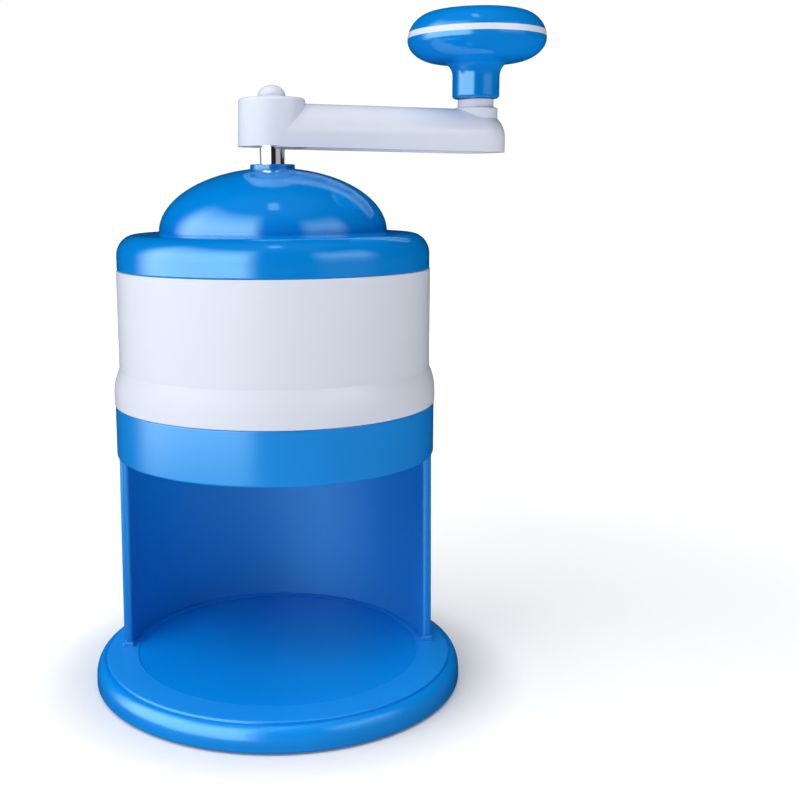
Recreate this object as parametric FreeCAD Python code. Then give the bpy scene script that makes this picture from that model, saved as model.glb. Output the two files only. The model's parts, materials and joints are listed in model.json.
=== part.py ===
import FreeCAD, Part
import math
import os

from FreeCAD import Vector

# Hand-cranked ice shaver, in millimetres. +Z is up along the spindle, the origin is on the
# spindle's axis at the surface the machine stands on, and the open front faces -Y.

# Base
BASE_R = 66.0
RIM_BOTTOM_Z = 0.6
BEAD_START_Z = 3.3
BEAD_TOP_Z = 9.05
BEAD_TOP_R = 62.95
PLATEAU_R = 62.3
PLATEAU_Z = 9.8
SEAT_R = 51.2
SEAT_Z = 9.4
BASE_WALL = 2.4
FOOT_RIB_IN_R = 59.0
FOOT_RIB_OUT_R = 61.0

# Column and band
COLUMN_R = 56.0
COLUMN_FOOT_R = 56.7
COLUMN_WALL = 3.2
BAND_Z = 84.0
BAND_TOP_Z = 102.0
POST_R = 2.6
POST_CIRCLE_R = 54.95
POST_ANGLES = (10.0, 50.0, 90.0, 130.0, 170.0)

# Hopper
BULGE_R = 56.25
SHOULDER_Z = 106.0
CREASE_Z = 114.3
HOPPER_R = 54.3
HOPPER_IN_R = 51.3
HOPPER_TOP_Z = 148.2
SPIGOT_R = 52.5
SPIGOT_IN_R = 50.1
SPIGOT_Z = 93.0
LEDGE_R = 41.0
LEDGE_Z = 96.0
PLATE_Z = 98.5
PLATE_R = 49.9
PLATE_T = 1.2
KEY_ANGLES = (90.0, 210.0, 330.0)
KEY_SWEEP = 8.0
KEY_SLOT_SWEEP = 9.2

# Shaving slot and blade
SLOT_X = (8.0, 39.5)
SLOT_Y = (-1.5, 5.2)
BLADE_X = (8.8, 38.8)
BLADE_Y = (-12.0, 0.4)
BLADE_T = 0.6
BLADE_SCREWS_X = (14.0, 33.0)
BLADE_SCREW_Y = -7.0

# Lid
LID_R = 54.0
LID_CORNER_Z = 153.2
LID_FLAT_R = 47.3
LID_FLAT_Z = 160.3
LID_FLAT_IN_Z = 160.9
DOME_R = 39.4
DOME_TOP_Z = 182.5
COLLAR_R = 7.7
COLLAR_Z = 183.6
LID_WALL = 2.6
LID_SPIGOT_R = 50.9
LID_SPIGOT_Z = 142.0
LUG_ANGLES = (30.0, 150.0, 270.0)
LUG_R = 52.3
LUG_Z = (143.7, 145.7)
TWIST = 30.0

# Bush and its ring
BUSH_R = 6.45
BUSH_SEAT_Z = 180.3
BUSH_TOP_Z = 182.3
BUSH_FLANGE_R = 8.4
BUSH_FLANGE_Z = 170.0
LID_BOSS_Z = 172.0
LID_BOSS_R = 9.4

# Spindle and presser
SPINDLE_R = 4.5
SPINDLE_Z = (105.5, 200.4)
RUN_FIT = 0.05
PRESSER_R = 46.0
PRESSER_Z = (104.6, 107.0)
PRESSER_HUB_R = 9.0
PRESSER_HUB_Z = 116.0
SPIKE_R = 1.3
SPIKE_TIP_Z = 101.6
DRIVE_PIN_Z = 112.0
WASHER_T = 1.0
SPRING_WIRE_R = 0.7
SPRING_R = 6.6
SPRING_TURNS = 7.5

# Crank, drawn along +X and then turned to its rest angle
CRANK_ANGLE = 15.0
CRANK_R = 75.9
HUB_R = 11.75
HUB_TOP_R = 11.4
HUB_Z = 189.6
HUB_TOP_Z = 205.7
ARM_WALL = 2.2
ARM_HUB_SECTION = (11.5, 189.2, 204.3)
ARM_END_SECTION = (10.7, 187.8, 203.1)
BOSS_R = 6.4
BOSS_FOOT_R = 7.9
BOSS_FOOT_Z = 203.6
BOSS_Z = 206.6
CAP_R = 4.75
CAP_TOP_Z = 210.1
SCREW_SEAT_Z = 202.7
CAP_BORE_R = 4.4

# Knob
KNOB_R = 24.6
STEM_R = 8.4
STEM_Z = 206.8
KNOB_WIDEST_Z = 227.2
KNOB_UNDER_Z = 219.0
KNOB_TOP_Z = 237.2
STRIPE_Z = (227.7, 229.8)
KNOB_CAVITY_R = 19.5
KNOB_FLOOR_Z = 223.0
PIN_R = 3.0
PIN_Z = (189.6, 225.4)

ROOT_HALF = math.sqrt(0.5)


class Outline:
    """A closed outline in the r-z plane, drawn one stretch at a time."""

    def __init__(self, r, z):
        self.first = Vector(r, 0, z)
        self.here = self.first
        self.edges = []

    def line(self, r, z):
        end = Vector(r, 0, z)
        self.edges.append(Part.LineSegment(self.here, end).toShape())
        self.here = end
        return self

    def arc(self, r_mid, z_mid, r, z):
        end = Vector(r, 0, z)
        self.edges.append(Part.Arc(self.here, Vector(r_mid, 0, z_mid), end).toShape())
        self.here = end
        return self

    def quarter(self, r_corner, z_corner, r, z):
        """A quarter ellipse whose end tangents meet at the corner."""
        end = Vector(r, 0, z)
        curve = Part.BezierCurve()
        curve.setPoles([self.here, Vector(r_corner, 0, z_corner), end])
        curve.setWeight(2, ROOT_HALF)
        self.edges.append(curve.toShape())
        self.here = end
        return self

    def crown(self, z):
        """A spherical cap from here up to the axis at height z."""
        rise = z - self.here.z
        ball_r = (self.here.x**2 + rise**2) / (2 * rise)
        mid_r = self.here.x / 2
        return self.arc(mid_r, z - ball_r + math.sqrt(ball_r**2 - mid_r**2), 0, z)

    def face(self):
        if not self.here.isEqual(self.first, 1e-7):
            self.line(self.first.x, self.first.z)
        return Part.Face(Part.Wire(self.edges))

    def spun(self, degrees=360.0):
        return self.face().revolve(Vector(0, 0, 0), Vector(0, 0, 1), degrees)


def rod(r, z0, z1, x=0.0, y=0.0):
    return Part.makeCylinder(r, z1 - z0, Vector(x, y, z0))


def ring(r_in, r_out, z0, z1):
    return rod(r_out, z0, z1).cut(rod(r_in, z0 - 1, z1 + 1))


def block(x, y, z):
    return Part.makeBox(x[1] - x[0], y[1] - y[0], z[1] - z[0], Vector(x[0], y[0], z[0]))


def sector(r_in, r_out, z0, z1, middle, sweep):
    """A piece of a ring, centred on an azimuth in degrees."""
    outline = Outline(r_in, z0).line(r_out, z0).line(r_out, z1).line(r_in, z1)
    return turned(outline.spun(sweep), middle - sweep / 2)


def turned(shape, degrees):
    copy = shape.copy()
    copy.rotate(Vector(0, 0, 0), Vector(0, 0, 1), degrees)
    return copy


def moved(shape, x=0.0, y=0.0, z=0.0):
    copy = shape.copy()
    copy.translate(Vector(x, y, z))
    return copy


def polar(shape, r, angles):
    """Copies of a shape drawn on the axis, set out on a circle."""
    return [turned(moved(shape, x=r), a) for a in angles]


def cross_recess(r, z0, z1, half_width=0.4):
    """The driver recess of a screw head."""
    bar = block((-r, r), (-half_width, half_width), (z0, z1))
    return bar.fuse(turned(bar, 90))


def screw(shank_r, length, head_r, head_h):
    """A pan-head screw pointing up, with the seat of its head at z = 0."""
    head = Outline(0, 0).line(head_r, 0).line(head_r, -0.45 * head_h)
    head.quarter(head_r, -head_h, 0.35 * head_r, -head_h).line(0, -head_h)
    shank = Outline(0, -0.3 * head_h).line(shank_r, -0.3 * head_h).line(shank_r, length - shank_r)
    shank.line(0.3 * shank_r, length).line(0, length)
    body = head.spun().fuse(shank.spun()).removeSplitter()
    return body.cut(cross_recess(0.55 * head_r, -head_h - 1, -0.45 * head_h))


def flipped(shape):
    """A shape turned upside down about the X axis."""
    copy = shape.copy()
    copy.rotate(Vector(0, 0, 0), Vector(1, 0, 0), 180)
    return copy


def base_shell():
    under_z = PLATEAU_Z - BASE_WALL - 0.4
    skirt_r = BASE_R - BASE_WALL
    outline = Outline(0, SEAT_Z).line(SEAT_R - 0.4, SEAT_Z).line(SEAT_R, PLATEAU_Z)
    outline.line(PLATEAU_R - 0.5, PLATEAU_Z)
    outline.quarter(PLATEAU_R, PLATEAU_Z, PLATEAU_R, PLATEAU_Z - 0.5)
    outline.line(PLATEAU_R + 0.15, BEAD_TOP_Z - 0.3).line(BEAD_TOP_R - 0.2, BEAD_TOP_Z - 0.3)
    outline.line(BEAD_TOP_R, BEAD_TOP_Z)
    outline.quarter(BASE_R, BEAD_TOP_Z - 0.15, BASE_R, BEAD_START_Z)
    outline.line(BASE_R, RIM_BOTTOM_Z + 0.7)
    outline.quarter(BASE_R, RIM_BOTTOM_Z, BASE_R - 0.7, RIM_BOTTOM_Z)
    outline.line(skirt_r, RIM_BOTTOM_Z).line(skirt_r, 3.6).line(skirt_r - 2.4, under_z).line(0, under_z)
    shell = outline.spun()
    rib_z = 3.6
    shell = shell.fuse(ring(FOOT_RIB_IN_R, FOOT_RIB_OUT_R, 1.8, under_z + 1))
    shell = shell.fuse(ring(12.0, 13.6, rib_z, under_z + 1))
    spoke = block((12.8, FOOT_RIB_IN_R + 1), (-0.8, 0.8), (rib_z + 0.8, under_z + 1))
    for i in range(8):
        shell = shell.fuse(turned(spoke, 22.5 + 45 * i))
    for hole in polar(rod(POST_R + 0.1, 0, 12), POST_CIRCLE_R, POST_ANGLES):
        shell = shell.cut(hole)
    return shell.removeSplitter()


def foot_ring():
    outline = Outline(57.6, 0.5).line(58.1, 0).line(62.1, 0).line(62.6, 0.5).line(62.6, 4.0)
    outline.line(FOOT_RIB_OUT_R, 4.0).line(FOOT_RIB_OUT_R, 1.8)
    outline.line(FOOT_RIB_IN_R, 1.8).line(FOOT_RIB_IN_R, 4.0).line(57.6, 4.0)
    return outline.spun()


def stand_column():
    foot_in = COLUMN_FOOT_R - COLUMN_WALL
    band_in = COLUMN_R - COLUMN_WALL
    wall = Outline(foot_in, PLATEAU_Z).line(COLUMN_FOOT_R, PLATEAU_Z).line(COLUMN_R, BAND_Z + 1)
    wall = wall.line(band_in, BAND_Z + 1).spun(180)
    front_edges = [e for e in wall.Edges if is_front_corner(e)]
    wall = wall.makeFillet(1.2, front_edges)
    band = Outline(band_in, BAND_Z + 0.4).line(band_in + 0.4, BAND_Z).line(COLUMN_R - 0.6, BAND_Z)
    band.quarter(COLUMN_R, BAND_Z, COLUMN_R, BAND_Z + 0.6)
    band.line(COLUMN_R, BAND_TOP_Z - 0.5).quarter(COLUMN_R, BAND_TOP_Z, COLUMN_R - 0.5, BAND_TOP_Z)
    band.line(band_in, BAND_TOP_Z)
    column = wall.fuse(band.spun())
    foot = front_foot()
    column = column.fuse(foot).fuse(foot.mirror(Vector(0, 0, 0), Vector(1, 0, 0)))
    for post in polar(rod(POST_R, 7.05, PLATEAU_Z), POST_CIRCLE_R, POST_ANGLES):
        column = column.fuse(post)
    for hole in polar(rod(1.25, 6, 19), POST_CIRCLE_R, POST_ANGLES):
        column = column.cut(hole)
    for angle in KEY_ANGLES:
        slot = sector(band_in - 1, band_in + 1.6, 97.4, BAND_TOP_Z + 1, angle, KEY_SLOT_SWEEP)
        column = column.cut(slot)
    return column.removeSplitter()


def is_front_corner(edge):
    """The long upright corners where the half-round wall ends."""
    a, b = edge.Vertexes[0].Point, edge.Vertexes[-1].Point
    return abs(a.y) < 1e-6 and abs(b.y) < 1e-6 and abs(a.z - b.z) > 50


def front_foot():
    """The small plinth at the foot of the wall's front corner, on the +X side."""
    inner = COLUMN_FOOT_R - COLUMN_WALL - 0.5
    foot = block((inner, COLUMN_FOOT_R + 0.4), (-0.5, 4.0), (PLATEAU_Z, PLATEAU_Z + 1.8))
    tops = [e for e in foot.Edges if e.BoundBox.ZMin > PLATEAU_Z + 1.7]
    uprights = [e for e in foot.Edges if e.BoundBox.ZLength > 1.0]
    foot = foot.makeFillet(0.5, tops + uprights)
    return foot


def column_screws():
    one = moved(screw(1.25, 11.0, 2.4, 1.7), z=6.0)
    return Part.makeCompound(polar(one, POST_CIRCLE_R, POST_ANGLES))


def column_washers():
    one = ring(1.3, 3.0, 6.0, 7.0)
    return Part.makeCompound(polar(one, POST_CIRCLE_R, POST_ANGLES))


def hopper_shell():
    shoulder_r = (BULGE_R - HOPPER_R + (CREASE_Z - SHOULDER_Z) ** 2 / (BULGE_R - HOPPER_R)) / 2
    half_z = (CREASE_Z - SHOULDER_Z) / 2
    half_r = BULGE_R - (shoulder_r - math.sqrt(shoulder_r**2 - half_z**2))
    outline = Outline(LEDGE_R, LEDGE_Z).line(SPIGOT_IN_R, LEDGE_Z).line(SPIGOT_IN_R, SPIGOT_Z)
    outline.line(SPIGOT_R - 0.5, SPIGOT_Z).line(SPIGOT_R, SPIGOT_Z + 0.5).line(SPIGOT_R, BAND_TOP_Z)
    outline.line(BULGE_R - 0.5, BAND_TOP_Z).quarter(BULGE_R, BAND_TOP_Z, BULGE_R, BAND_TOP_Z + 0.5)
    outline.line(BULGE_R, SHOULDER_Z).arc(half_r, SHOULDER_Z + half_z, HOPPER_R, CREASE_Z)
    outline.line(HOPPER_R, HOPPER_TOP_Z - 0.4)
    outline.quarter(HOPPER_R, HOPPER_TOP_Z, HOPPER_R - 0.4, HOPPER_TOP_Z)
    outline.line(HOPPER_IN_R, HOPPER_TOP_Z).line(HOPPER_IN_R, 107.0).line(SPIGOT_IN_R, 104.0)
    outline.line(SPIGOT_IN_R, PLATE_Z).line(LEDGE_R, PLATE_Z)
    shell = outline.spun()
    for angle in KEY_ANGLES:
        shell = shell.fuse(sector(SPIGOT_R - 0.5, SPIGOT_R + 1.6, 98.0, BAND_TOP_Z, angle, KEY_SWEEP))
    for angle in LUG_ANGLES:
        entry = sector(HOPPER_IN_R - 1, LUG_R + 0.3, LUG_Z[0] - 0.3, HOPPER_TOP_Z + 1, angle, 9.2)
        run_z = (LUG_Z[0] - 0.3, LUG_Z[1] + 0.3)
        run = sector(HOPPER_IN_R - 1, LUG_R + 0.3, *run_z, angle - TWIST / 2, TWIST + 9.2)
        shell = shell.cut(entry.fuse(run))
    for hole in polar(rod(1.5, 95, 99), 45.5, (60, 180, 300)):
        shell = shell.cut(hole)
    return shell.removeSplitter()


def blade_plate():
    plate = rod(PLATE_R, PLATE_Z, PLATE_Z + PLATE_T)
    plate = plate.cut(block(SLOT_X, SLOT_Y, (97, 101)))
    for hole in polar(rod(1.5, 97, 101), 45.5, (60, 180, 300)):
        plate = plate.cut(hole)
    for x in BLADE_SCREWS_X:
        plate = plate.cut(rod(1.5, 97, 101, x, BLADE_SCREW_Y))
    return plate


def plate_screws():
    one = moved(screw(1.5, PLATE_Z + PLATE_T - LEDGE_Z, 2.8, 1.8), z=LEDGE_Z)
    return Part.makeCompound(polar(one, 45.5, (60, 180, 300)))


def blade():
    top = PLATE_Z + PLATE_T + BLADE_T
    low = PLATE_Z + PLATE_T
    corners = [(BLADE_Y[0], low), (SLOT_Y[0], low), (BLADE_Y[1], top - 0.05), (BLADE_Y[1], top)]
    corners.append((BLADE_Y[0], top))
    wire = Part.makePolygon([Vector(BLADE_X[0], y, z) for y, z in corners + corners[:1]])
    bar = Part.Face(wire).extrude(Vector(BLADE_X[1] - BLADE_X[0], 0, 0))
    for x in BLADE_SCREWS_X:
        sink = Part.makeCone(1.5, 1.5 + BLADE_T, BLADE_T, Vector(x, BLADE_SCREW_Y, low))
        bar = bar.cut(sink)
    return bar


def blade_screws():
    """Countersunk screws, flush with the blade's face."""
    top = PLATE_Z + PLATE_T + BLADE_T
    outline = Outline(0, top).line(1.5 + BLADE_T, top).line(1.5, top - BLADE_T)
    outline.line(1.5, 95.0).line(1.1, 94.6).line(0, 94.6)
    one = outline.spun().cut(cross_recess(1.0, top - 0.4, top + 1, 0.25))
    return Part.makeCompound([moved(one, x, BLADE_SCREW_Y) for x in BLADE_SCREWS_X])


def blade_nuts():
    points = [Vector(3.1 * math.cos(math.radians(a)), 3.1 * math.sin(math.radians(a)), PLATE_Z - 2.4)
              for a in range(0, 361, 60)]
    nut = Part.Face(Part.makePolygon(points)).extrude(Vector(0, 0, 2.4))
    nut = nut.cut(rod(1.5, 90, 100))
    return Part.makeCompound([moved(nut, x, BLADE_SCREW_Y) for x in BLADE_SCREWS_X])


def lid_shell():
    spigot_in = LID_SPIGOT_R - 2.0
    dome_z = 160.5
    dome_in_r = DOME_R - LID_WALL
    dome_in_top = DOME_TOP_Z - LID_WALL
    outline = Outline(0, COLLAR_Z).line(COLLAR_R - 0.4, COLLAR_Z)
    outline.quarter(COLLAR_R, COLLAR_Z, COLLAR_R, COLLAR_Z - 0.4)
    joint_z = dome_z + (DOME_TOP_Z - dome_z) * math.sqrt(1 - (COLLAR_R / DOME_R) ** 2)
    outline.line(COLLAR_R, joint_z - 0.5).line(0, joint_z - 0.5)
    collar = outline.spun()
    dome = Outline(0, dome_z).line(DOME_R, dome_z).quarter(DOME_R, DOME_TOP_Z, 0, DOME_TOP_Z).spun()
    skin = Outline(0, HOPPER_TOP_Z).line(LID_R - 0.5, HOPPER_TOP_Z)
    skin.quarter(LID_R, HOPPER_TOP_Z, LID_R, HOPPER_TOP_Z + 0.5).line(LID_R, LID_CORNER_Z)
    skin.quarter(LID_R, LID_FLAT_Z, LID_FLAT_R, LID_FLAT_Z)
    skin.line(DOME_R, LID_FLAT_IN_Z).line(0, LID_FLAT_IN_Z)
    spigot = rod(LID_SPIGOT_R, LID_SPIGOT_Z, HOPPER_TOP_Z + 1)
    shell = skin.spun().fuse(dome).fuse(collar).fuse(spigot)
    inner = Outline(0, LID_SPIGOT_Z - 1).line(spigot_in, LID_SPIGOT_Z - 1).line(spigot_in, 151.0)
    inner.quarter(spigot_in, LID_FLAT_Z - LID_WALL, 44.5, LID_FLAT_Z - LID_WALL)
    inner.line(dome_in_r, LID_FLAT_Z - LID_WALL).line(dome_in_r, dome_z)
    inner.quarter(dome_in_r, dome_in_top, 0, dome_in_top)
    shell = shell.cut(inner.spun())
    shell = shell.fuse(rod(LID_BOSS_R, LID_BOSS_Z, dome_in_top + 0.8))
    shell = shell.cut(rod(BUSH_R + RUN_FIT, 165, 190)).cut(rod(6.95, BUSH_SEAT_Z, 190))
    for angle in LUG_ANGLES:
        shell = shell.fuse(sector(LID_SPIGOT_R - 0.6, LUG_R, *LUG_Z, angle, KEY_SWEEP))
    return shell.removeSplitter()


def spindle_bush():
    bore_r = SPINDLE_R + RUN_FIT
    outline = Outline(bore_r, BUSH_FLANGE_Z).line(BUSH_FLANGE_R, BUSH_FLANGE_Z)
    outline.line(BUSH_FLANGE_R, LID_BOSS_Z - 0.1).line(BUSH_R, LID_BOSS_Z - 0.1)
    outline.line(BUSH_R, BUSH_SEAT_Z + 0.2).line(5.9, BUSH_SEAT_Z + 0.2)
    outline.line(5.9, BUSH_SEAT_Z + 1.0).line(BUSH_R, BUSH_SEAT_Z + 1.0)
    outline.line(BUSH_R, BUSH_TOP_Z).line(bore_r, BUSH_TOP_Z)
    return outline.spun()


def open_ring(r_in, r_out, z0, z1, gap, angle):
    """A flat retaining ring with a gap in it."""
    cutter = turned(block((0, r_out + 2), (-gap / 2, gap / 2), (z0 - 1, z1 + 1)), angle)
    return ring(r_in, r_out, z0, z1).cut(cutter)


def bush_clip():
    return open_ring(5.9, 6.85, BUSH_SEAT_Z + 0.25, BUSH_SEAT_Z + 0.95, 2.0, 90)


def spindle():
    low, high = SPINDLE_Z
    outline = Outline(0, low).line(SPINDLE_R - 0.6, low).line(SPINDLE_R, low + 0.6)
    outline.line(SPINDLE_R, BUSH_TOP_Z + 0.05).line(3.9, BUSH_TOP_Z + 0.05)
    outline.line(3.9, BUSH_TOP_Z + 0.95).line(SPINDLE_R, BUSH_TOP_Z + 0.95)
    outline.line(SPINDLE_R, high - 0.5).line(SPINDLE_R - 0.5, high).line(0, high)
    shaft = outline.spun()
    for side in (0, 180):
        flat = turned(block((3.5, 6.0), (-6, 6), (191.5, high + 1)), CRANK_ANGLE + side)
        shaft = shaft.cut(flat)
    shaft = shaft.cut(rod(2.0, 189.0, high + 1))
    return shaft.cut(drive_pin())


def spindle_clip():
    return open_ring(3.9, 6.3, BUSH_TOP_Z + 0.1, BUSH_TOP_Z + 0.9, 3.0, 200)


def thrust_washer():
    return ring(SPINDLE_R + RUN_FIT, 8.6, PRESSER_HUB_Z + 0.05, PRESSER_HUB_Z + 0.05 + WASHER_T)


def feed_spring():
    low = PRESSER_HUB_Z + 0.05 + WASHER_T + SPRING_WIRE_R
    high = BUSH_FLANGE_Z - SPRING_WIRE_R
    pitch = (high - low) / SPRING_TURNS
    path = Part.makeHelix(pitch, high - low, SPRING_R)
    section = Part.Wire(Part.makeCircle(SPRING_WIRE_R, Vector(SPRING_R, 0, 0), Vector(0, 1, 0)))
    return moved(Part.Wire(path).makePipeShell([section], True, True), z=low)


def presser_plate():
    low, high = PRESSER_Z
    outline = Outline(SPINDLE_R, low).line(PRESSER_R - 0.6, low).line(PRESSER_R, low + 0.6)
    outline.line(PRESSER_R, high - 0.6).line(PRESSER_R - 0.6, high)
    outline.line(PRESSER_HUB_R + 1.5, high).quarter(PRESSER_HUB_R, high, PRESSER_HUB_R, high + 1.5)
    outline.line(PRESSER_HUB_R, PRESSER_HUB_Z).line(SPINDLE_R, PRESSER_HUB_Z)
    plate = outline.spun()
    rib = block((PRESSER_HUB_R - 1, PRESSER_R - 3), (-0.9, 0.9), (high - 0.5, high + 2.2))
    for i in range(6):
        plate = plate.fuse(turned(rib, 60 * i))
    for hole in spike_places(rod(SPIKE_R, low - 1, high - 0.8)):
        plate = plate.cut(hole)
    return plate.cut(drive_pin()).removeSplitter()


def spike_places(shape):
    """Copies of a shape on the presser's two circles of spikes."""
    inner = polar(shape, 22.0, [30 + 60 * i for i in range(6)])
    return inner + polar(shape, 38.0, [15 + 30 * i for i in range(12)])


def presser_spikes():
    outline = Outline(0, SPIKE_TIP_Z).line(0.25, SPIKE_TIP_Z).line(SPIKE_R, SPIKE_TIP_Z + 2.0)
    outline.line(SPIKE_R, PRESSER_Z[1] - 0.8).line(0, PRESSER_Z[1] - 0.8)
    return Part.makeCompound(spike_places(outline.spun()))


def drive_pin():
    return Part.makeCylinder(1.25, 17.6, Vector(-8.8, 0, DRIVE_PIN_Z), Vector(1, 0, 0))


def arch_wire(x, half_width, low, high):
    """An arched section across the arm: upright sides, round shoulders and a flatter crown."""
    shoulder_r = 0.7 * half_width
    spring_z = high - 0.92 * half_width
    rise = high - spring_z
    inset = half_width - shoulder_r
    crown_r = (inset**2 + rise**2 - shoulder_r**2) / (2 * (rise - shoulder_r))
    crown_z = high - crown_r
    angle = math.atan2(spring_z - crown_z, inset)
    join = Vector(x, crown_r * math.cos(angle), crown_z + crown_r * math.sin(angle))
    mid_y = inset + shoulder_r * math.cos(angle / 2)
    mid = Vector(x, mid_y, spring_z + shoulder_r * math.sin(angle / 2))
    side = Vector(x, half_width, spring_z)
    foot = Vector(x, half_width, low)

    def other(p):
        return Vector(p.x, -p.y, p.z)

    edges = [
        Part.LineSegment(foot, side).toShape(),
        Part.Arc(side, mid, join).toShape(),
        Part.Arc(join, Vector(x, 0, high), other(join)).toShape(),
        Part.Arc(other(join), other(mid), other(side)).toShape(),
        Part.LineSegment(other(side), other(foot)).toShape(),
        Part.LineSegment(other(foot), foot).toShape(),
    ]
    return Part.Wire(edges)


def arm_solid(x0, trim, roof):
    """The arm from a section near the hub to its round end, drawn smaller by a wall and roof."""
    hub = (ARM_HUB_SECTION[0] - trim, ARM_HUB_SECTION[1] - roof, ARM_HUB_SECTION[2] - roof)
    end = (ARM_END_SECTION[0] - trim, ARM_END_SECTION[1] - roof, ARM_END_SECTION[2] - roof)
    share = x0 / CRANK_R
    start = [a + (b - a) * share for a, b in zip(hub, end)]
    beam = Part.makeLoft([arch_wire(x0, *start), arch_wire(CRANK_R, *end)], True, True)
    half = Part.Face(arch_wire(CRANK_R, *end)).common(
        Part.makeBox(2, 20, 60, Vector(CRANK_R - 1, 0, 170)))
    round_end = half.revolve(Vector(CRANK_R, 0, 0), Vector(0, 0, 1), -180)
    return beam.fuse(round_end)


def crank_arm():
    hub = Outline(0, HUB_Z).line(HUB_R, HUB_Z).line(HUB_TOP_R, HUB_TOP_Z - 1.2)
    hub.quarter(HUB_TOP_R, HUB_TOP_Z, HUB_TOP_R - 1.3, HUB_TOP_Z).line(0, HUB_TOP_Z)
    outer = hub.spun().fuse(arm_solid(0.0, 0.0, 0.0))
    hub_cavity = ring(7.2, HUB_TOP_R - ARM_WALL, 180, SCREW_SEAT_Z - 2.2)
    arm_cavity = arm_solid(HUB_R - 1.0, ARM_WALL, ARM_WALL)
    arm = outer.cut(hub_cavity).cut(arm_cavity)
    boss = Outline(0, 191.4).line(BOSS_R, 191.4).line(BOSS_R, BOSS_FOOT_Z - 2.0)
    boss.line(BOSS_FOOT_R, BOSS_FOOT_Z - 2.0).line(BOSS_FOOT_R, BOSS_FOOT_Z - 0.8)
    boss.quarter(BOSS_FOOT_R, BOSS_FOOT_Z, BOSS_FOOT_R - 0.8, BOSS_FOOT_Z)
    boss.line(BOSS_R, BOSS_FOOT_Z).line(BOSS_R, BOSS_Z - 0.3).line(BOSS_R - 0.3, BOSS_Z).line(0, BOSS_Z)
    foot = rod(BOSS_FOOT_R, 199.0, BOSS_FOOT_Z - 1.5)
    arm = arm.fuse(moved(boss.spun().fuse(foot), x=CRANK_R))
    for x in (26.0, 44.0, 62.0):
        web = block((x, x + 1.4), (-12.0, 12.0), (193.0, 210.0)).common(outer)
        arm = arm.fuse(web)
    arm = arm.cut(rod(CAP_BORE_R, SCREW_SEAT_Z, 210)).cut(rod(2.1, 195, 210))
    shaft_hole = rod(SPINDLE_R, 180, SPINDLE_Z[1])
    for side in (0, 180):
        flat = turned(block((3.5, 6.0), (-6, 6), (191.5, SPINDLE_Z[1])), side)
        shaft_hole = shaft_hole.cut(flat)
    arm = arm.cut(shaft_hole).cut(rod(PIN_R, 180, 220, CRANK_R))
    return turned(arm.removeSplitter(), CRANK_ANGLE)


def crank_washer():
    return ring(2.1, 4.1, SCREW_SEAT_Z, SCREW_SEAT_Z + 0.8)


def crank_screw():
    return moved(flipped(screw(2.0, 12.0, 3.4, 2.2)), z=SCREW_SEAT_Z + 0.8)


def crank_cap():
    dome = Outline(0, HUB_TOP_Z).line(CAP_R + 0.7, HUB_TOP_Z).line(CAP_R + 0.7, HUB_TOP_Z + 0.2)
    dome.quarter(CAP_R, HUB_TOP_Z + 0.2, CAP_R, HUB_TOP_Z + 0.7)
    dome.quarter(CAP_R, CAP_TOP_Z, 0, CAP_TOP_Z)
    cap = dome.spun().fuse(rod(CAP_BORE_R, 204.2, HUB_TOP_Z + 0.1))
    return cap.cut(rod(3.6, 203, HUB_TOP_Z + 0.6)).removeSplitter()


def at_knob(shape):
    """A shape drawn on the axis, moved to the end of the crank at its rest angle."""
    return turned(moved(shape, x=CRANK_R), CRANK_ANGLE)


def knob_pin():
    outline = Outline(0, PIN_Z[0]).line(4.2, PIN_Z[0]).line(4.8, PIN_Z[0] + 0.6).line(4.8, 191.4)
    outline.line(PIN_R, 191.4).line(PIN_R, PIN_Z[1] - 0.6).line(PIN_R - 0.6, PIN_Z[1]).line(0, PIN_Z[1])
    return at_knob(outline.spun())


def knob_clip():
    return at_knob(ring(PIN_R, 6.5, KNOB_FLOOR_Z + 0.2, KNOB_FLOOR_Z + 1.0))


def knob_solid():
    """The whole mushroom, solid inside, that the knob's three pieces are cut from."""
    outline = Outline(0, STEM_Z).line(STEM_R - 1.1, STEM_Z)
    outline.quarter(STEM_R, STEM_Z, STEM_R, STEM_Z + 1.1).line(STEM_R, 214.5)
    outline.quarter(STEM_R, KNOB_UNDER_Z - 0.4, STEM_R + 2.8, KNOB_UNDER_Z)
    outline.line(15.0, KNOB_UNDER_Z + 0.55)
    outline.quarter(KNOB_R, KNOB_UNDER_Z + 1.6, KNOB_R, KNOB_WIDEST_Z)
    outline.quarter(KNOB_R, KNOB_TOP_Z - 0.65, 15.0, KNOB_TOP_Z - 0.4)
    return outline.crown(KNOB_TOP_Z).spun()


def knob_body():
    low, _ = STRIPE_Z
    body = knob_solid().common(rod(40, 200, low))
    body = body.cut(rod(KNOB_CAVITY_R, KNOB_FLOOR_Z, 240))
    return at_knob(body.cut(rod(PIN_R + RUN_FIT, 200, 230)))


def knob_band():
    stripe = knob_solid().common(ring(KNOB_CAVITY_R, 40, *STRIPE_Z))
    return at_knob(stripe)


def knob_cap():
    cap = knob_solid().common(rod(40, STRIPE_Z[1], 250))
    cap = cap.fuse(rod(KNOB_CAVITY_R, KNOB_FLOOR_Z + 1.6, STRIPE_Z[1] + 0.5))
    hollow = Outline(0, 220).line(KNOB_CAVITY_R - 2, 220).line(KNOB_CAVITY_R - 2, STRIPE_Z[1])
    hollow.quarter(KNOB_CAVITY_R - 2, KNOB_TOP_Z - 2.6, 0, KNOB_TOP_Z - 2.6)
    return at_knob(cap.cut(hollow.spun()).removeSplitter())


NODES = (
    base_shell, foot_ring, stand_column, column_screws, column_washers,
    hopper_shell, blade_plate, plate_screws, blade, blade_screws, blade_nuts,
    lid_shell, spindle_bush, bush_clip, thrust_washer, feed_spring,
    spindle, spindle_clip, presser_plate, presser_spikes, drive_pin,
    crank_arm, crank_washer, crank_screw, crank_cap, knob_pin, knob_clip,
    knob_body, knob_band, knob_cap,
)

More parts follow.
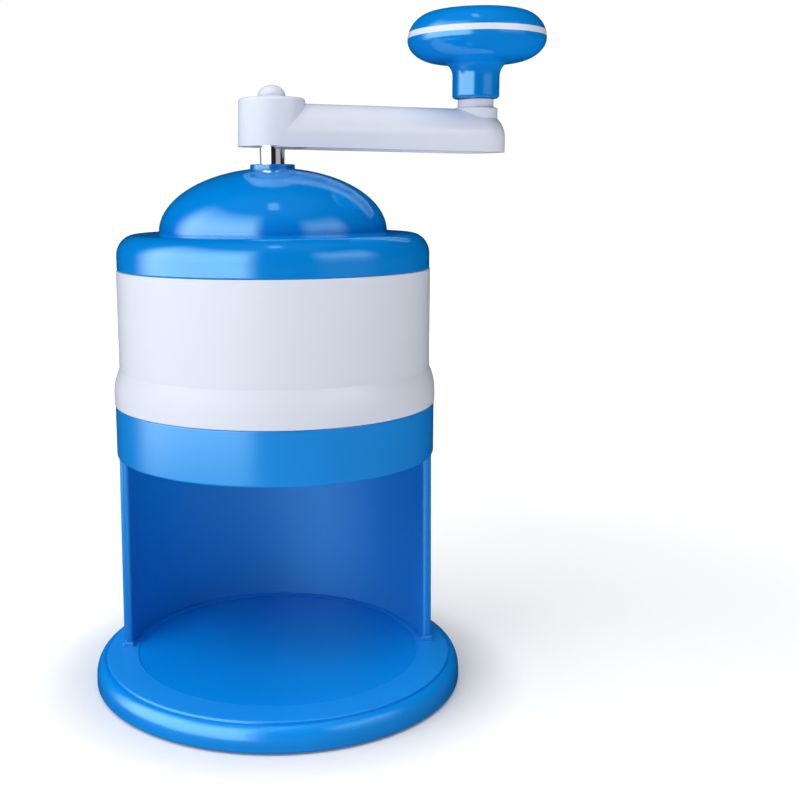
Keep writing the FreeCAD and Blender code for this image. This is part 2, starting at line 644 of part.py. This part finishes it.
os.makedirs("parts", exist_ok=True)
for make in NODES:
    shape = make()
    print(make.__name__, "valid", shape.isValid(), "solids", len(shape.Solids),
          "volume", round(shape.Volume, 1))
    shape.exportStep("parts/" + make.__name__ + ".step")
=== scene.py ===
import json
import math

import bmesh
import bpy
from mathutils import Matrix, Vector


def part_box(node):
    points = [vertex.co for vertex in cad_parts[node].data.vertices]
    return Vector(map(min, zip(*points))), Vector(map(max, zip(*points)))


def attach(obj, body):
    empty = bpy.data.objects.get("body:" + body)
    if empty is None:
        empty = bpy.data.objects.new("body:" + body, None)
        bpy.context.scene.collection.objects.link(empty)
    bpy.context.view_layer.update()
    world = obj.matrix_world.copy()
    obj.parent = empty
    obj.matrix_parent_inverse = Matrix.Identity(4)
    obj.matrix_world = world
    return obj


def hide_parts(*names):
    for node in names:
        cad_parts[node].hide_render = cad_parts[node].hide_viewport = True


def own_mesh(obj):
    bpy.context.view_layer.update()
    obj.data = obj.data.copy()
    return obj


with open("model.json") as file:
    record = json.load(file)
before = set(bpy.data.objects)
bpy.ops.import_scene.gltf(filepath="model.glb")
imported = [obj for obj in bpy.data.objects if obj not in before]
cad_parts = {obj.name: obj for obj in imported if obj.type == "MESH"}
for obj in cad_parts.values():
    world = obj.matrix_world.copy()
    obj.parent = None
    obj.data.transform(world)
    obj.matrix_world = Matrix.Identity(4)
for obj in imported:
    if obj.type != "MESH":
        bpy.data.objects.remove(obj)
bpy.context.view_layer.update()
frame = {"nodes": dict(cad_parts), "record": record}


# ---------------------------------------------------------------- mesh tools

SMOOTH_ANGLE = math.radians(28.0)     # edges that turn more than this stay sharp
WELD_DISTANCE = 2e-6


def object_from(name, bm):
    """A finished mesh object with consistent normals and smooth shading between its sharp edges."""
    bmesh.ops.remove_doubles(bm, verts=bm.verts, dist=WELD_DISTANCE)
    bmesh.ops.recalc_face_normals(bm, faces=bm.faces)
    mesh = bpy.data.meshes.new(name)
    bm.to_mesh(mesh)
    bm.free()
    mesh.shade_smooth()
    mesh.set_sharp_from_angle(angle=SMOOTH_ANGLE)
    piece = bpy.data.objects.new(name, mesh)
    bpy.context.scene.collection.objects.link(piece)
    return piece


def add_loft(bm, loops):
    """Joins closed loops of points into a skin, and closes its two ends."""
    rows = [[bm.verts.new(p) for p in loop] for loop in loops]
    for low, high in zip(rows, rows[1:]):
        for i in range(len(low)):
            k = (i + 1) % len(low)
            bm.faces.new((low[i], low[k], high[k], high[i]))
    bm.faces.new(rows[0])
    bm.faces.new(rows[-1])


def round_axis(radius, turns):
    """A point on a circle round the Z axis, a number of turns from +X."""
    angle = 2 * math.pi * turns
    return Vector((radius * math.cos(angle), radius * math.sin(angle), 0.0))


def clamp(value):
    """The value, kept between 0 and 1."""
    return max(0.0, min(1.0, value))


def smooth_step(value):
    """A ramp from 0 to 1 that starts and ends level."""
    t = clamp(value)
    return t * t * (3 - 2 * t)


# ---------------------------------------------------------------- shader tools

MIX_A, MIX_B, MIX_RESULT = 6, 7, 2     # the colour sockets of a Mix node
BLACK = (0, 0, 0, 1)


def darker(color, share):
    """A colour with each of its channels taken down to a share."""
    return tuple(share * c for c in color)


class Shader:
    """A node material built up a few nodes at a time, in the piece's own coordinates."""

    def __init__(self, name):
        self.material = bpy.data.materials.new(name)
        self.material.use_nodes = True
        self.tree = self.material.node_tree
        self.bsdf = self.tree.nodes["Principled BSDF"]
        self.place = self.add("ShaderNodeTexCoord").outputs["Object"]
        self.normal = None

    def add(self, kind, **settings):
        """A new node of a kind, with some of its settings."""
        node = self.tree.nodes.new(kind)
        for key, value in settings.items():
            setattr(node, key, value)
        return node

    def link(self, output, socket):
        self.tree.links.new(output, socket)

    def mapped(self, scale):
        """The place on the piece, scaled along each axis."""
        node = self.add("ShaderNodeMapping")
        node.inputs["Scale"].default_value = scale
        self.link(self.place, node.inputs["Vector"])
        return node.outputs["Vector"]

    def length(self, vector):
        node = self.add("ShaderNodeVectorMath", operation="LENGTH")
        self.link(vector, node.inputs[0])
        return node.outputs["Value"]

    def height(self):
        """The height above the surface that the machine stands on."""
        node = self.add("ShaderNodeSeparateXYZ")
        self.link(self.place, node.inputs[0])
        return node.outputs["Z"]

    def noise(self, scale, detail=2.0, roughness=0.5, stretch=(1, 1, 1)):
        """Noise with its scale in cells per metre. A stretch under 1 draws it out along that axis."""
        node = self.add("ShaderNodeTexNoise")
        node.inputs["Scale"].default_value = scale
        node.inputs["Detail"].default_value = detail
        node.inputs["Roughness"].default_value = roughness
        self.link(self.mapped(stretch), node.inputs["Vector"])
        return node.outputs["Fac"]

    def ramp(self, value, low, high, at=(0.3, 0.7)):
        """Colours from low to high while the value goes through the range at."""
        node = self.add("ShaderNodeValToRGB")
        for element, color, position in zip(node.color_ramp.elements, (low, high), at):
            element.position = position
            element.color = (*color, 1)
        self.link(value, node.inputs["Fac"])
        return node.outputs["Color"]

    def spread(self, value, low, high, at=(0.3, 0.7)):
        """Numbers from low to high while the value goes through the range at."""
        node = self.add("ShaderNodeMapRange")
        node.inputs["From Min"].default_value = at[0]
        node.inputs["From Max"].default_value = at[1]
        node.inputs["To Min"].default_value = low
        node.inputs["To Max"].default_value = high
        self.link(value, node.inputs["Value"])
        return node.outputs["Result"]

    def math(self, operation, a, b):
        node = self.add("ShaderNodeMath", operation=operation)
        self.link(a, node.inputs[0])
        self.link(b, node.inputs[1])
        return node.outputs[0]

    def mix(self, color, other, share):
        """Takes a varying share of a fixed colour into a colour."""
        node = self.add("ShaderNodeMix", data_type="RGBA")
        self.link(share, node.inputs["Factor"])
        self.link(color, node.inputs[MIX_A])
        node.inputs[MIX_B].default_value = (*other, 1)
        return node.outputs[MIX_RESULT]

    def bump(self, height, distance, strength):
        """Adds relief on top of any relief that is already there."""
        node = self.add("ShaderNodeBump")
        node.inputs["Distance"].default_value = distance
        node.inputs["Strength"].default_value = strength
        self.link(height, node.inputs["Height"])
        if self.normal:
            self.link(self.normal, node.inputs["Normal"])
        self.normal = node.outputs["Normal"]

    def finish(self, color, roughness, **fixed):
        """Joins the nodes to the surface. What is the same all over goes straight on its socket."""
        self.link(color, self.bsdf.inputs["Base Color"])
        self.link(roughness, self.bsdf.inputs["Roughness"])
        if self.normal:
            self.link(self.normal, self.bsdf.inputs["Normal"])
        for name, value in fixed.items():
            self.bsdf.inputs[name.replace("_", " ")].default_value = value
        return self.material


# ---------------------------------------------------------------- materials

BAY_R = 0.0542           # between the column's inner and outer face
BASE_TOP_Z = 0.009       # just under the seat and the raised ring round it
BASE_ZONE_Z = 0.0115     # just over them
BAND_LOW_Z = 0.084       # the lower edge of the band on top of the column
MASK_EDGE_R = 0.0006     # the widths over which the satin finish starts and stops
MASK_EDGE_BASE = 0.001
MASK_EDGE_Z = 0.0008

BLUE_TONES = ((0.000, 0.220, 0.690), (0.000, 0.240, 0.738))
BLUE_GLEAM = (0.60, 1.0, 0.92)       # a tint that keeps the highlights on the blue cyan
BLUE_IOR = 1.75                      # above that of real plastic, so the tinted gloss stays strong
WHITE_TONES = ((0.742, 0.783, 0.885), (0.764, 0.805, 0.905))
WHITE_GLEAM = (1.0, 1.0, 1.0)
WHITE_IOR = 1.50
STAND_NODES = ("base_shell", "stand_column")


def bay_mask(s):
    """1 on the column's inner face and the base's raised ring, about half on the seat, and 0 elsewhere."""
    height = s.height()
    radius = s.length(s.mapped((1, 1, 0)))
    inner = s.spread(radius, 1, 0, at=(BAY_R, BAY_R + MASK_EDGE_R))
    on_base = s.spread(height, 1, 0, at=(BASE_ZONE_Z, BASE_ZONE_Z + MASK_EDGE_BASE))
    above = s.spread(height, 0, 1, at=(BASE_TOP_Z, BASE_TOP_Z + MASK_EDGE_Z))
    below = s.spread(height, 1, 0, at=(BAND_LOW_Z - MASK_EDGE_Z, BAND_LOW_Z))
    return s.math("MINIMUM", s.math("MAXIMUM", inner, on_base), s.math("MINIMUM", above, below))


def moulded_plastic(name, shade, tint, rough, ior, gleam, satin=None):
    """Injection-moulded plastic: faint flow clouds, a fine orange-peel skin and light handling.

    satin is the roughness of the less polished mould inside the bay and on top of the base, where
    the part has one.
    """
    s = Shader(name)
    clouds = s.noise(scale=30, stretch=(1, 1, 0.7))
    color = s.ramp(clouds, shade, tint, at=(0.25, 0.75))
    specks = s.noise(scale=1300, detail=1)
    color = s.mix(color, darker(shade, 0.9), s.spread(specks, 0.0, 0.06, at=(0.66, 0.8)))
    rubs = s.spread(s.noise(scale=700), 0.0, 0.004, at=(0.5, 0.8))
    handling = s.spread(s.noise(scale=26, roughness=0.45), *rough, at=(0.25, 0.75))
    roughness = s.math("ADD", handling, rubs)
    if satin:
        roughness = s.math("MAXIMUM", roughness, s.spread(bay_mask(s), 0.0, satin, at=(0, 1)))
    s.bump(s.noise(scale=1100), distance=0.000004, strength=0.5)
    s.bump(s.noise(scale=85, detail=1, roughness=0.4), distance=0.00003, strength=0.2)
    return s.finish(color, roughness, IOR=ior, Specular_Tint=(*gleam, 1))


def turned_steel(name, color, rough, lines, depth):
    """Steel turned or ground round its axis, with fine rings along Z."""
    s = Shader(name)
    rings = s.noise(scale=lines, roughness=0.6, stretch=(0.02, 0.02, 1))
    shade = s.ramp(s.noise(scale=90, detail=3), darker(color, 0.92), color)
    s.bump(rings, depth, strength=0.6)
    return s.finish(shade, s.spread(rings, *rough), Metallic=1.0)


def sheet_steel(name, color, rough):
    """Brushed sheet: long scratches along X over a soft stain."""
    s = Shader(name)
    brushed = s.noise(scale=1500, detail=3, roughness=0.7, stretch=(0.03, 1, 1))
    shade = s.ramp(s.noise(scale=70, detail=3), darker(color, 0.9), color)
    s.bump(brushed, distance=0.00001, strength=0.5)
    return s.finish(shade, s.spread(brushed, *rough), Metallic=1.0)


def moulded_rubber(name):
    """Black rubber with a dull, finely pitted skin."""
    s = Shader(name)
    shade = s.ramp(s.noise(scale=300, detail=3, roughness=0.6), (0.018, 0.018, 0.02), (0.04, 0.04, 0.042))
    s.bump(s.noise(scale=2600, detail=3, roughness=0.7), distance=0.00004, strength=0.6)
    return s.finish(shade, s.spread(s.noise(scale=500), 0.6, 0.8), IOR=1.52)


def nylon(name):
    """Natural nylon: cream, waxy and a little translucent."""
    s = Shader(name)
    shade = s.ramp(s.noise(scale=200), (0.62, 0.61, 0.55), (0.70, 0.69, 0.64))
    s.bump(s.noise(scale=1800), distance=0.00001, strength=0.5)
    return s.finish(shade, s.spread(s.noise(scale=400), 0.38, 0.5), IOR=1.53, Subsurface_Weight=0.15,
                    Subsurface_Radius=(0.002, 0.002, 0.002), Subsurface_Scale=1.0)


BLUE = moulded_plastic("gloss_blue", *BLUE_TONES, rough=(0.09, 0.12), ior=BLUE_IOR, gleam=BLUE_GLEAM)
BLUE_STAND = moulded_plastic("stand_blue", *BLUE_TONES, rough=(0.20, 0.23), ior=BLUE_IOR,
                             gleam=BLUE_GLEAM, satin=0.48)
WHITE = moulded_plastic("gloss_white", *WHITE_TONES, rough=(0.21, 0.25), ior=WHITE_IOR, gleam=WHITE_GLEAM)
STEEL_SHAFT = turned_steel("polished_shaft", (0.82, 0.81, 0.80), rough=(0.06, 0.12), lines=5200,
                           depth=0.000003)
STEEL_WIRE = turned_steel("drawn_wire", (0.62, 0.62, 0.63), rough=(0.18, 0.28), lines=1400,
                          depth=0.000004)
STEEL_PARTS = turned_steel("plated_steel", (0.66, 0.66, 0.67), rough=(0.22, 0.34), lines=3000,
                           depth=0.000008)
STEEL_SHEET = sheet_steel("brushed_sheet", (0.70, 0.70, 0.71), rough=(0.2, 0.34))
RUBBER = moulded_rubber("foot_rubber")
NYLON = nylon("bush_nylon")
SLOT_MATERIALS = {
    "blue_plastic": BLUE,
    "white_plastic": WHITE,
    "presser_plastic": WHITE,
    "nylon": NYLON,
    "rubber": RUBBER,
    "polished_steel": STEEL_SHAFT,
    "steel_sheet": STEEL_SHEET,
    "steel_hardware": STEEL_PARTS,
}


def material_slot(node):
    """The name of the material slot that the record gives a node."""
    return next(s["material_slot"] for s in frame["record"]["subparts"] if s["node"] == node)


def paint_cad_nodes():
    """Gives every node of the frame its finish: the stand's own blue, or that of its material slot."""
    for name, node in frame["nodes"].items():
        material = BLUE_STAND if name in STAND_NODES else SLOT_MATERIALS[material_slot(name)]
        node.data.materials.clear()
        node.data.materials.append(material)


# ---------------------------------------------------------------- feed spring

SPRING_WIRE_R = 0.0007
SPRING_WIRE_SIDES = 14
SPRING_WIRE_ENDS = (0.72, 0.94)           # the last two steps at each end, as shares of the wire's radius
SPRING_DEAD_TURNS = 0.8                   # closed turns at each end
SPRING_DEAD_PITCH = 2.02 * SPRING_WIRE_R  # just over one wire from turn to turn
SPRING_ACTIVE_TURNS = 6.3
SPRING_TURNS = SPRING_ACTIVE_TURNS + 2 * SPRING_DEAD_TURNS
SPRING_STEPS_A_TURN = 48


def spring_height(turn, low, high):
    """The height of the wire's middle after a number of turns from the lower end."""
    rise = high - low - 2 * SPRING_DEAD_TURNS * SPRING_DEAD_PITCH
    active = clamp((turn - SPRING_DEAD_TURNS) / SPRING_ACTIVE_TURNS)
    dead_below = min(turn, SPRING_DEAD_TURNS)
    dead_above = max(0.0, turn - SPRING_DEAD_TURNS - SPRING_ACTIVE_TURNS)
    return low + (dead_below + dead_above) * SPRING_DEAD_PITCH + rise * active


def feed_spring():
    """The presser's spring with closed ends. It rides up with the feed."""
    box_low, box_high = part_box("feed_spring")
    coil_r = (box_high[0] - box_low[0]) / 2 - SPRING_WIRE_R
    low, high = box_low[2] + SPRING_WIRE_R, box_high[2] - SPRING_WIRE_R
    steps = int(SPRING_TURNS * SPRING_STEPS_A_TURN)
    loops = []
    for i in range(steps + 1):
        turn = SPRING_TURNS * i / steps
        out = round_axis(1.0, turn)
        middle = out * coil_r + Vector((0, 0, spring_height(turn, low, high)))
        from_end = min(i, steps - i)
        size = SPRING_WIRE_R
        if from_end < len(SPRING_WIRE_ENDS):
            size *= SPRING_WIRE_ENDS[from_end]
        section = [round_axis(size, k / SPRING_WIRE_SIDES) for k in range(SPRING_WIRE_SIDES)]
        loops.append([middle + out * p.x + Vector((0, 0, p.y)) for p in section])
    bm = bmesh.new()
    add_loft(bm, loops)
    spring = object_from("feed_spring_coil", bm)
    spring.data.materials.append(STEEL_WIRE)
    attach(spring, "feed")
    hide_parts("feed_spring")
    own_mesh(spring)
    return spring


# ---------------------------------------------------------------- camera

CAMERA_PLACE = Vector((0.0, -0.3955, 0.1751))
CAMERA_PITCH = math.radians(9.68)     # down
CAMERA_YAW = math.radians(2.2)        # to the right
CAMERA_ROLL = math.radians(-0.36)
CAMERA_LENS = 50.85
CAMERA_SHIFT = (0.1025, -0.0225)
CAMERA_CLIP = (0.01, 20.0)


def make_camera():
    """The camera in front of the machine, a little above its middle."""
    c, s = math.cos(CAMERA_PITCH), math.sin(CAMERA_PITCH)
    ahead = Vector((math.sin(CAMERA_YAW) * c, math.cos(CAMERA_YAW) * c, -s))
    level = Vector((math.cos(CAMERA_YAW), -math.sin(CAMERA_YAW), 0.0))
    above = level.cross(ahead)
    right = level * math.cos(CAMERA_ROLL) + above * math.sin(CAMERA_ROLL)
    up = above * math.cos(CAMERA_ROLL) - level * math.sin(CAMERA_ROLL)
    data = bpy.data.cameras.new("camera")
    data.lens = CAMERA_LENS
    data.shift_x, data.shift_y = CAMERA_SHIFT
    data.clip_start, data.clip_end = CAMERA_CLIP
    camera = bpy.data.objects.new("camera", data)
    turn = Matrix((right, up, -ahead)).transposed().to_4x4()
    camera.matrix_world = Matrix.Translation(CAMERA_PLACE) @ turn
    bpy.context.scene.collection.objects.link(camera)
    bpy.context.scene.camera = camera


# ---------------------------------------------------------------- lamps and screens

AIM_Z = 0.12            # the middle of the machine, which lamps and screens face
SCREEN_STEPS = 48
# The glow of each screen by elevation: (degrees, glow).
LEFT_GLOW = ((-16, 0.6), (-13, 3.6), (-4, 4.4), (10, 4.7), (26, 4.7), (42, 3.0), (52, 1.4), (60, 0.0))
MILD_LEFT_GLOW = [(elevation, 1.1 * glow) for elevation, glow in LEFT_GLOW]
REAR_GLOW = ((-30, 0.4), (0, 0.9), (30, 1.2), (55, 0.5), (70, 0.0))
RIGHT_GLOW = ((-6, 0.1), (8, 0.65), (20, 1.85), (28, 1.85), (46, 0.1), (48, 0.0))
WORLD_COLOR = (0.93, 0.96, 1.0, 1)
WORLD_STRENGTH = 0.12
WORLD_STRENGTH_IN_GLOSS = 0.02


def direction(azimuth, elevation):
    """The way to a light. Azimuth 0 is in front of the machine and 90 is on its right."""
    a, e = math.radians(azimuth), math.radians(elevation)
    return Vector((math.sin(a) * math.cos(e), -math.cos(a) * math.cos(e), math.sin(e)))


def soft_light(name, azimuth, elevation, distance, size, radiance, diffuse=True, glossy=True, aim_z=AIM_Z):
    """An area light aimed at the machine's axis. It can be left out of diffuse light or of reflections."""
    aim = Vector((0.0, 0.0, aim_z))
    at = aim + distance * direction(azimuth, elevation)
    data = bpy.data.lights.new(name, "AREA")
    data.shape = "RECTANGLE"
    data.size, data.size_y = size
    data.energy = radiance * math.pi * size[0] * size[1]
    light = bpy.data.objects.new(name, data)
    light.location = at
    light.rotation_euler = (aim - at).to_track_quat("-Z", "Y").to_euler()
    light.visible_diffuse = diffuse
    light.visible_glossy = glossy
    light.visible_camera = False
    bpy.context.scene.collection.objects.link(light)
    return light


def hide_from(thing, *rays):
    """Takes a floor, screen or backdrop out of some kinds of rays."""
    for kind in rays:
        setattr(thing, "visible_" + kind, False)


def light_only(light, pieces):
    """Keeps a lamp or screen to some of the pieces, as a flag or snoot does in a studio."""
    lit = bpy.data.collections.new("lit_by_" + light.name)
    for piece in pieces:
        lit.objects.link(piece)
    light.light_linking.receiver_collection = lit


def glow_at(profile, elevation):
    """The glow at an elevation, in line between the profile's points."""
    level = 0.0
    for (e0, g0), (e1, g1) in zip(profile, profile[1:]):
        if e0 <= elevation <= e1:
            level = g0 + (g1 - g0) * (elevation - e0) / (e1 - e0)
    return level


def reflector(name, azimuths, profile, side_fades, distance=1.1):
    """A glowing screen that only shows in reflections, with sides that fade over some degrees."""
    bottom, top = profile[0][0], profile[-1][0]
    bm = bmesh.new()
    glow = bm.verts.layers.float.new("glow")
    grid = []
    for i in range(SCREEN_STEPS + 1):
        elevation = bottom + (top - bottom) * i / SCREEN_STEPS
        row = []
        for k in range(SCREEN_STEPS + 1):
            azimuth = azimuths[0] + (azimuths[1] - azimuths[0]) * k / SCREEN_STEPS
            edge = min((azimuth - azimuths[0]) / side_fades[0], (azimuths[1] - azimuth) / side_fades[1])
            v = bm.verts.new(direction(azimuth, elevation) * distance + Vector((0, 0, AIM_Z)))
            v[glow] = glow_at(profile, elevation) * smooth_step(edge)
            row.append(v)
        grid.append(row)
    for low, high in zip(grid, grid[1:]):
        for k in range(SCREEN_STEPS):
            bm.faces.new((low[k], low[k + 1], high[k + 1], high[k]))
    mesh = bpy.data.meshes.new(name)
    bm.to_mesh(mesh)
    bm.free()
    screen = bpy.data.objects.new(name, mesh)
    bpy.context.scene.collection.objects.link(screen)
    s = Shader(name + "_glow")
    level = s.add("ShaderNodeAttribute", attribute_name="glow")
    s.link(level.outputs["Fac"], s.bsdf.inputs["Emission Strength"])
    s.bsdf.inputs["Emission Color"].default_value = (1, 1, 1, 1)
    s.bsdf.inputs["Base Color"].default_value = BLACK
    screen.data.materials.append(s.material)
    hide_from(screen, "camera", "diffuse", "transmission", "shadow")
    return screen


def make_lamps():
    """Soft lamps for the diffuse light, and one that only shows in reflections."""
    nodes = frame["nodes"]
    soft_light("key_left", azimuth=-62, elevation=34, distance=1.25, size=(1.2, 1.0), radiance=2.12,
               glossy=False)
    soft_light("overhead", azimuth=0, elevation=80, distance=1.25, size=(1.3, 1.3), radiance=2.3,
               glossy=False)
    soft_light("fill_right", azimuth=70, elevation=20, distance=1.3, size=(0.6, 0.6), radiance=0.1,
               glossy=False)
    base_light = soft_light("low_fill", azimuth=-22, elevation=52, distance=0.9, size=(0.5, 0.5),
                            radiance=4.3, glossy=False, aim_z=0.0)
    light_only(base_light, [nodes["base_shell"]])
    column_light = soft_light("edge_fill", azimuth=4, elevation=8, distance=1.1, size=(0.5, 0.4),
                              radiance=2.2, glossy=False, aim_z=0.05)
    light_only(column_light, [nodes["stand_column"]])
    soft_light("lamp_above", azimuth=2, elevation=77, distance=1.0, size=(0.11, 0.26), radiance=2.0,
               diffuse=False)


def make_screens(spring):
    """The screens that the plastic and steel reflect. White plastic gets a softer left screen."""
    nodes = frame["nodes"]
    white = [nodes[n] for n in nodes if material_slot(n) in ("white_plastic", "presser_plastic")]
    steel = [nodes[n] for n in nodes if "steel" in material_slot(n)] + [spring]
    other = [nodes[n] for n in nodes if nodes[n] not in white] + [spring]
    left = (-118, -8)
    light_only(reflector("screen_left", left, LEFT_GLOW, side_fades=(30, 16)), other)
    light_only(reflector("screen_left_mild", left, MILD_LEFT_GLOW, side_fades=(50, 30), distance=1.2), white)
    light_only(reflector("screen_rear", (120, 240), REAR_GLOW, side_fades=(25, 25)), steel)
    reflector("screen_right", (24, 84), RIGHT_GLOW, side_fades=(14, 18))


def make_world():
    """A dim cool surround, dimmer still in reflections."""
    world = bpy.data.worlds.new("studio")
    world.use_nodes = True
    tree = world.node_tree
    background = tree.nodes["Background"]
    background.inputs["Color"].default_value = WORLD_COLOR
    rays = tree.nodes.new("ShaderNodeLightPath")
    dim = tree.nodes.new("ShaderNodeMapRange")
    dim.inputs["To Min"].default_value = WORLD_STRENGTH
    dim.inputs["To Max"].default_value = WORLD_STRENGTH_IN_GLOSS
    tree.links.new(rays.outputs["Is Glossy Ray"], dim.inputs["Value"])
    tree.links.new(dim.outputs["Result"], background.inputs["Strength"])
    bpy.context.scene.world = world
    bpy.context.scene.view_settings.view_transform = "Standard"
    bpy.context.scene.view_settings.look = "None"


# ---------------------------------------------------------------- floor and backdrop

FLOOR_R = 5.0
FLOOR_RINGS = 20
FLOOR_SIDES = 96
FLOOR_GLOW = (0.48, 1.25)          # from near to far, over the reach below
FLOOR_GLOW_REACH = (0.22, 0.9)
FLOOR_PAINTED_SHADOW = (-0.34, 0.0)           # painted shadow: less glow close round the base, where its shadow lies
FLOOR_PAINTED_SHADOW_REACH = (0.066, 0.090)
BACKDROP_R = 4.9
BACKDROP_GLOW = 1.02


def floor_paint(name):
    """Pale matt table top, lit from within a little so that its far edge fades to white, with a painted
    shadow: less glow close round the base.
    """
    s = Shader(name)
    shade = s.ramp(s.noise(scale=3), (0.83, 0.83, 0.835), (0.86, 0.86, 0.86))
    s.link(shade, s.bsdf.inputs["Emission Color"])
    radius = s.length(s.place)
    far = s.spread(radius, *FLOOR_GLOW, at=FLOOR_GLOW_REACH)
    # painted shadow: the glow dips close round the base
    near = s.spread(radius, *FLOOR_PAINTED_SHADOW, at=FLOOR_PAINTED_SHADOW_REACH)
    s.link(s.math("ADD", far, near), s.bsdf.inputs["Emission Strength"])
    return s.finish(shade, s.spread(s.noise(scale=20), 0.55, 0.65), IOR=1.3)


def backdrop_paint(name):
    """An even white glow."""
    s = Shader(name)
    shade = s.ramp(s.noise(scale=0.4, detail=1), (0.995, 0.995, 0.995), (1, 1, 1))
    s.link(shade, s.bsdf.inputs["Emission Color"])
    s.bsdf.inputs["Emission Strength"].default_value = BACKDROP_GLOW
    s.bsdf.inputs["Base Color"].default_value = BLACK
    s.bsdf.inputs["Specular IOR Level"].default_value = 0.0
    return s.material


def floor_sheet():
    """A flat round sheet whose rings are closer together near the machine."""
    bm = bmesh.new()
    middle = bm.verts.new((0, 0, 0))
    rings = []
    for i in range(1, FLOOR_RINGS + 1):
        radius = FLOOR_R * (i / FLOOR_RINGS) ** 2
        rings.append([bm.verts.new(round_axis(radius, k / FLOOR_SIDES)) for k in range(FLOOR_SIDES)])
    for i in range(FLOOR_SIDES):
        bm.faces.new((middle, rings[0][(i + 1) % FLOOR_SIDES], rings[0][i]))
    for low, high in zip(rings, rings[1:]):
        for i in range(FLOOR_SIDES):
            k = (i + 1) % FLOOR_SIDES
            bm.faces.new((low[i], low[k], high[k], high[i]))
    return object_from("floor", bm)


def make_floor():
    """A round pale table top under a plain white dome that only the camera sees."""
    floor = floor_sheet()
    floor.data.materials.append(floor_paint("floor_paint"))
    hide_from(floor, "glossy")
    bm = bmesh.new()
    bmesh.ops.create_uvsphere(bm, u_segments=48, v_segments=24, radius=BACKDROP_R)
    backdrop = object_from("backdrop", bm)
    backdrop.data.materials.append(backdrop_paint("backdrop_glow"))
    hide_from(backdrop, "diffuse", "glossy", "transmission", "shadow")


paint_cad_nodes()
coil = feed_spring()
make_camera()
make_lamps()
make_screens(coil)
make_world()
make_floor()
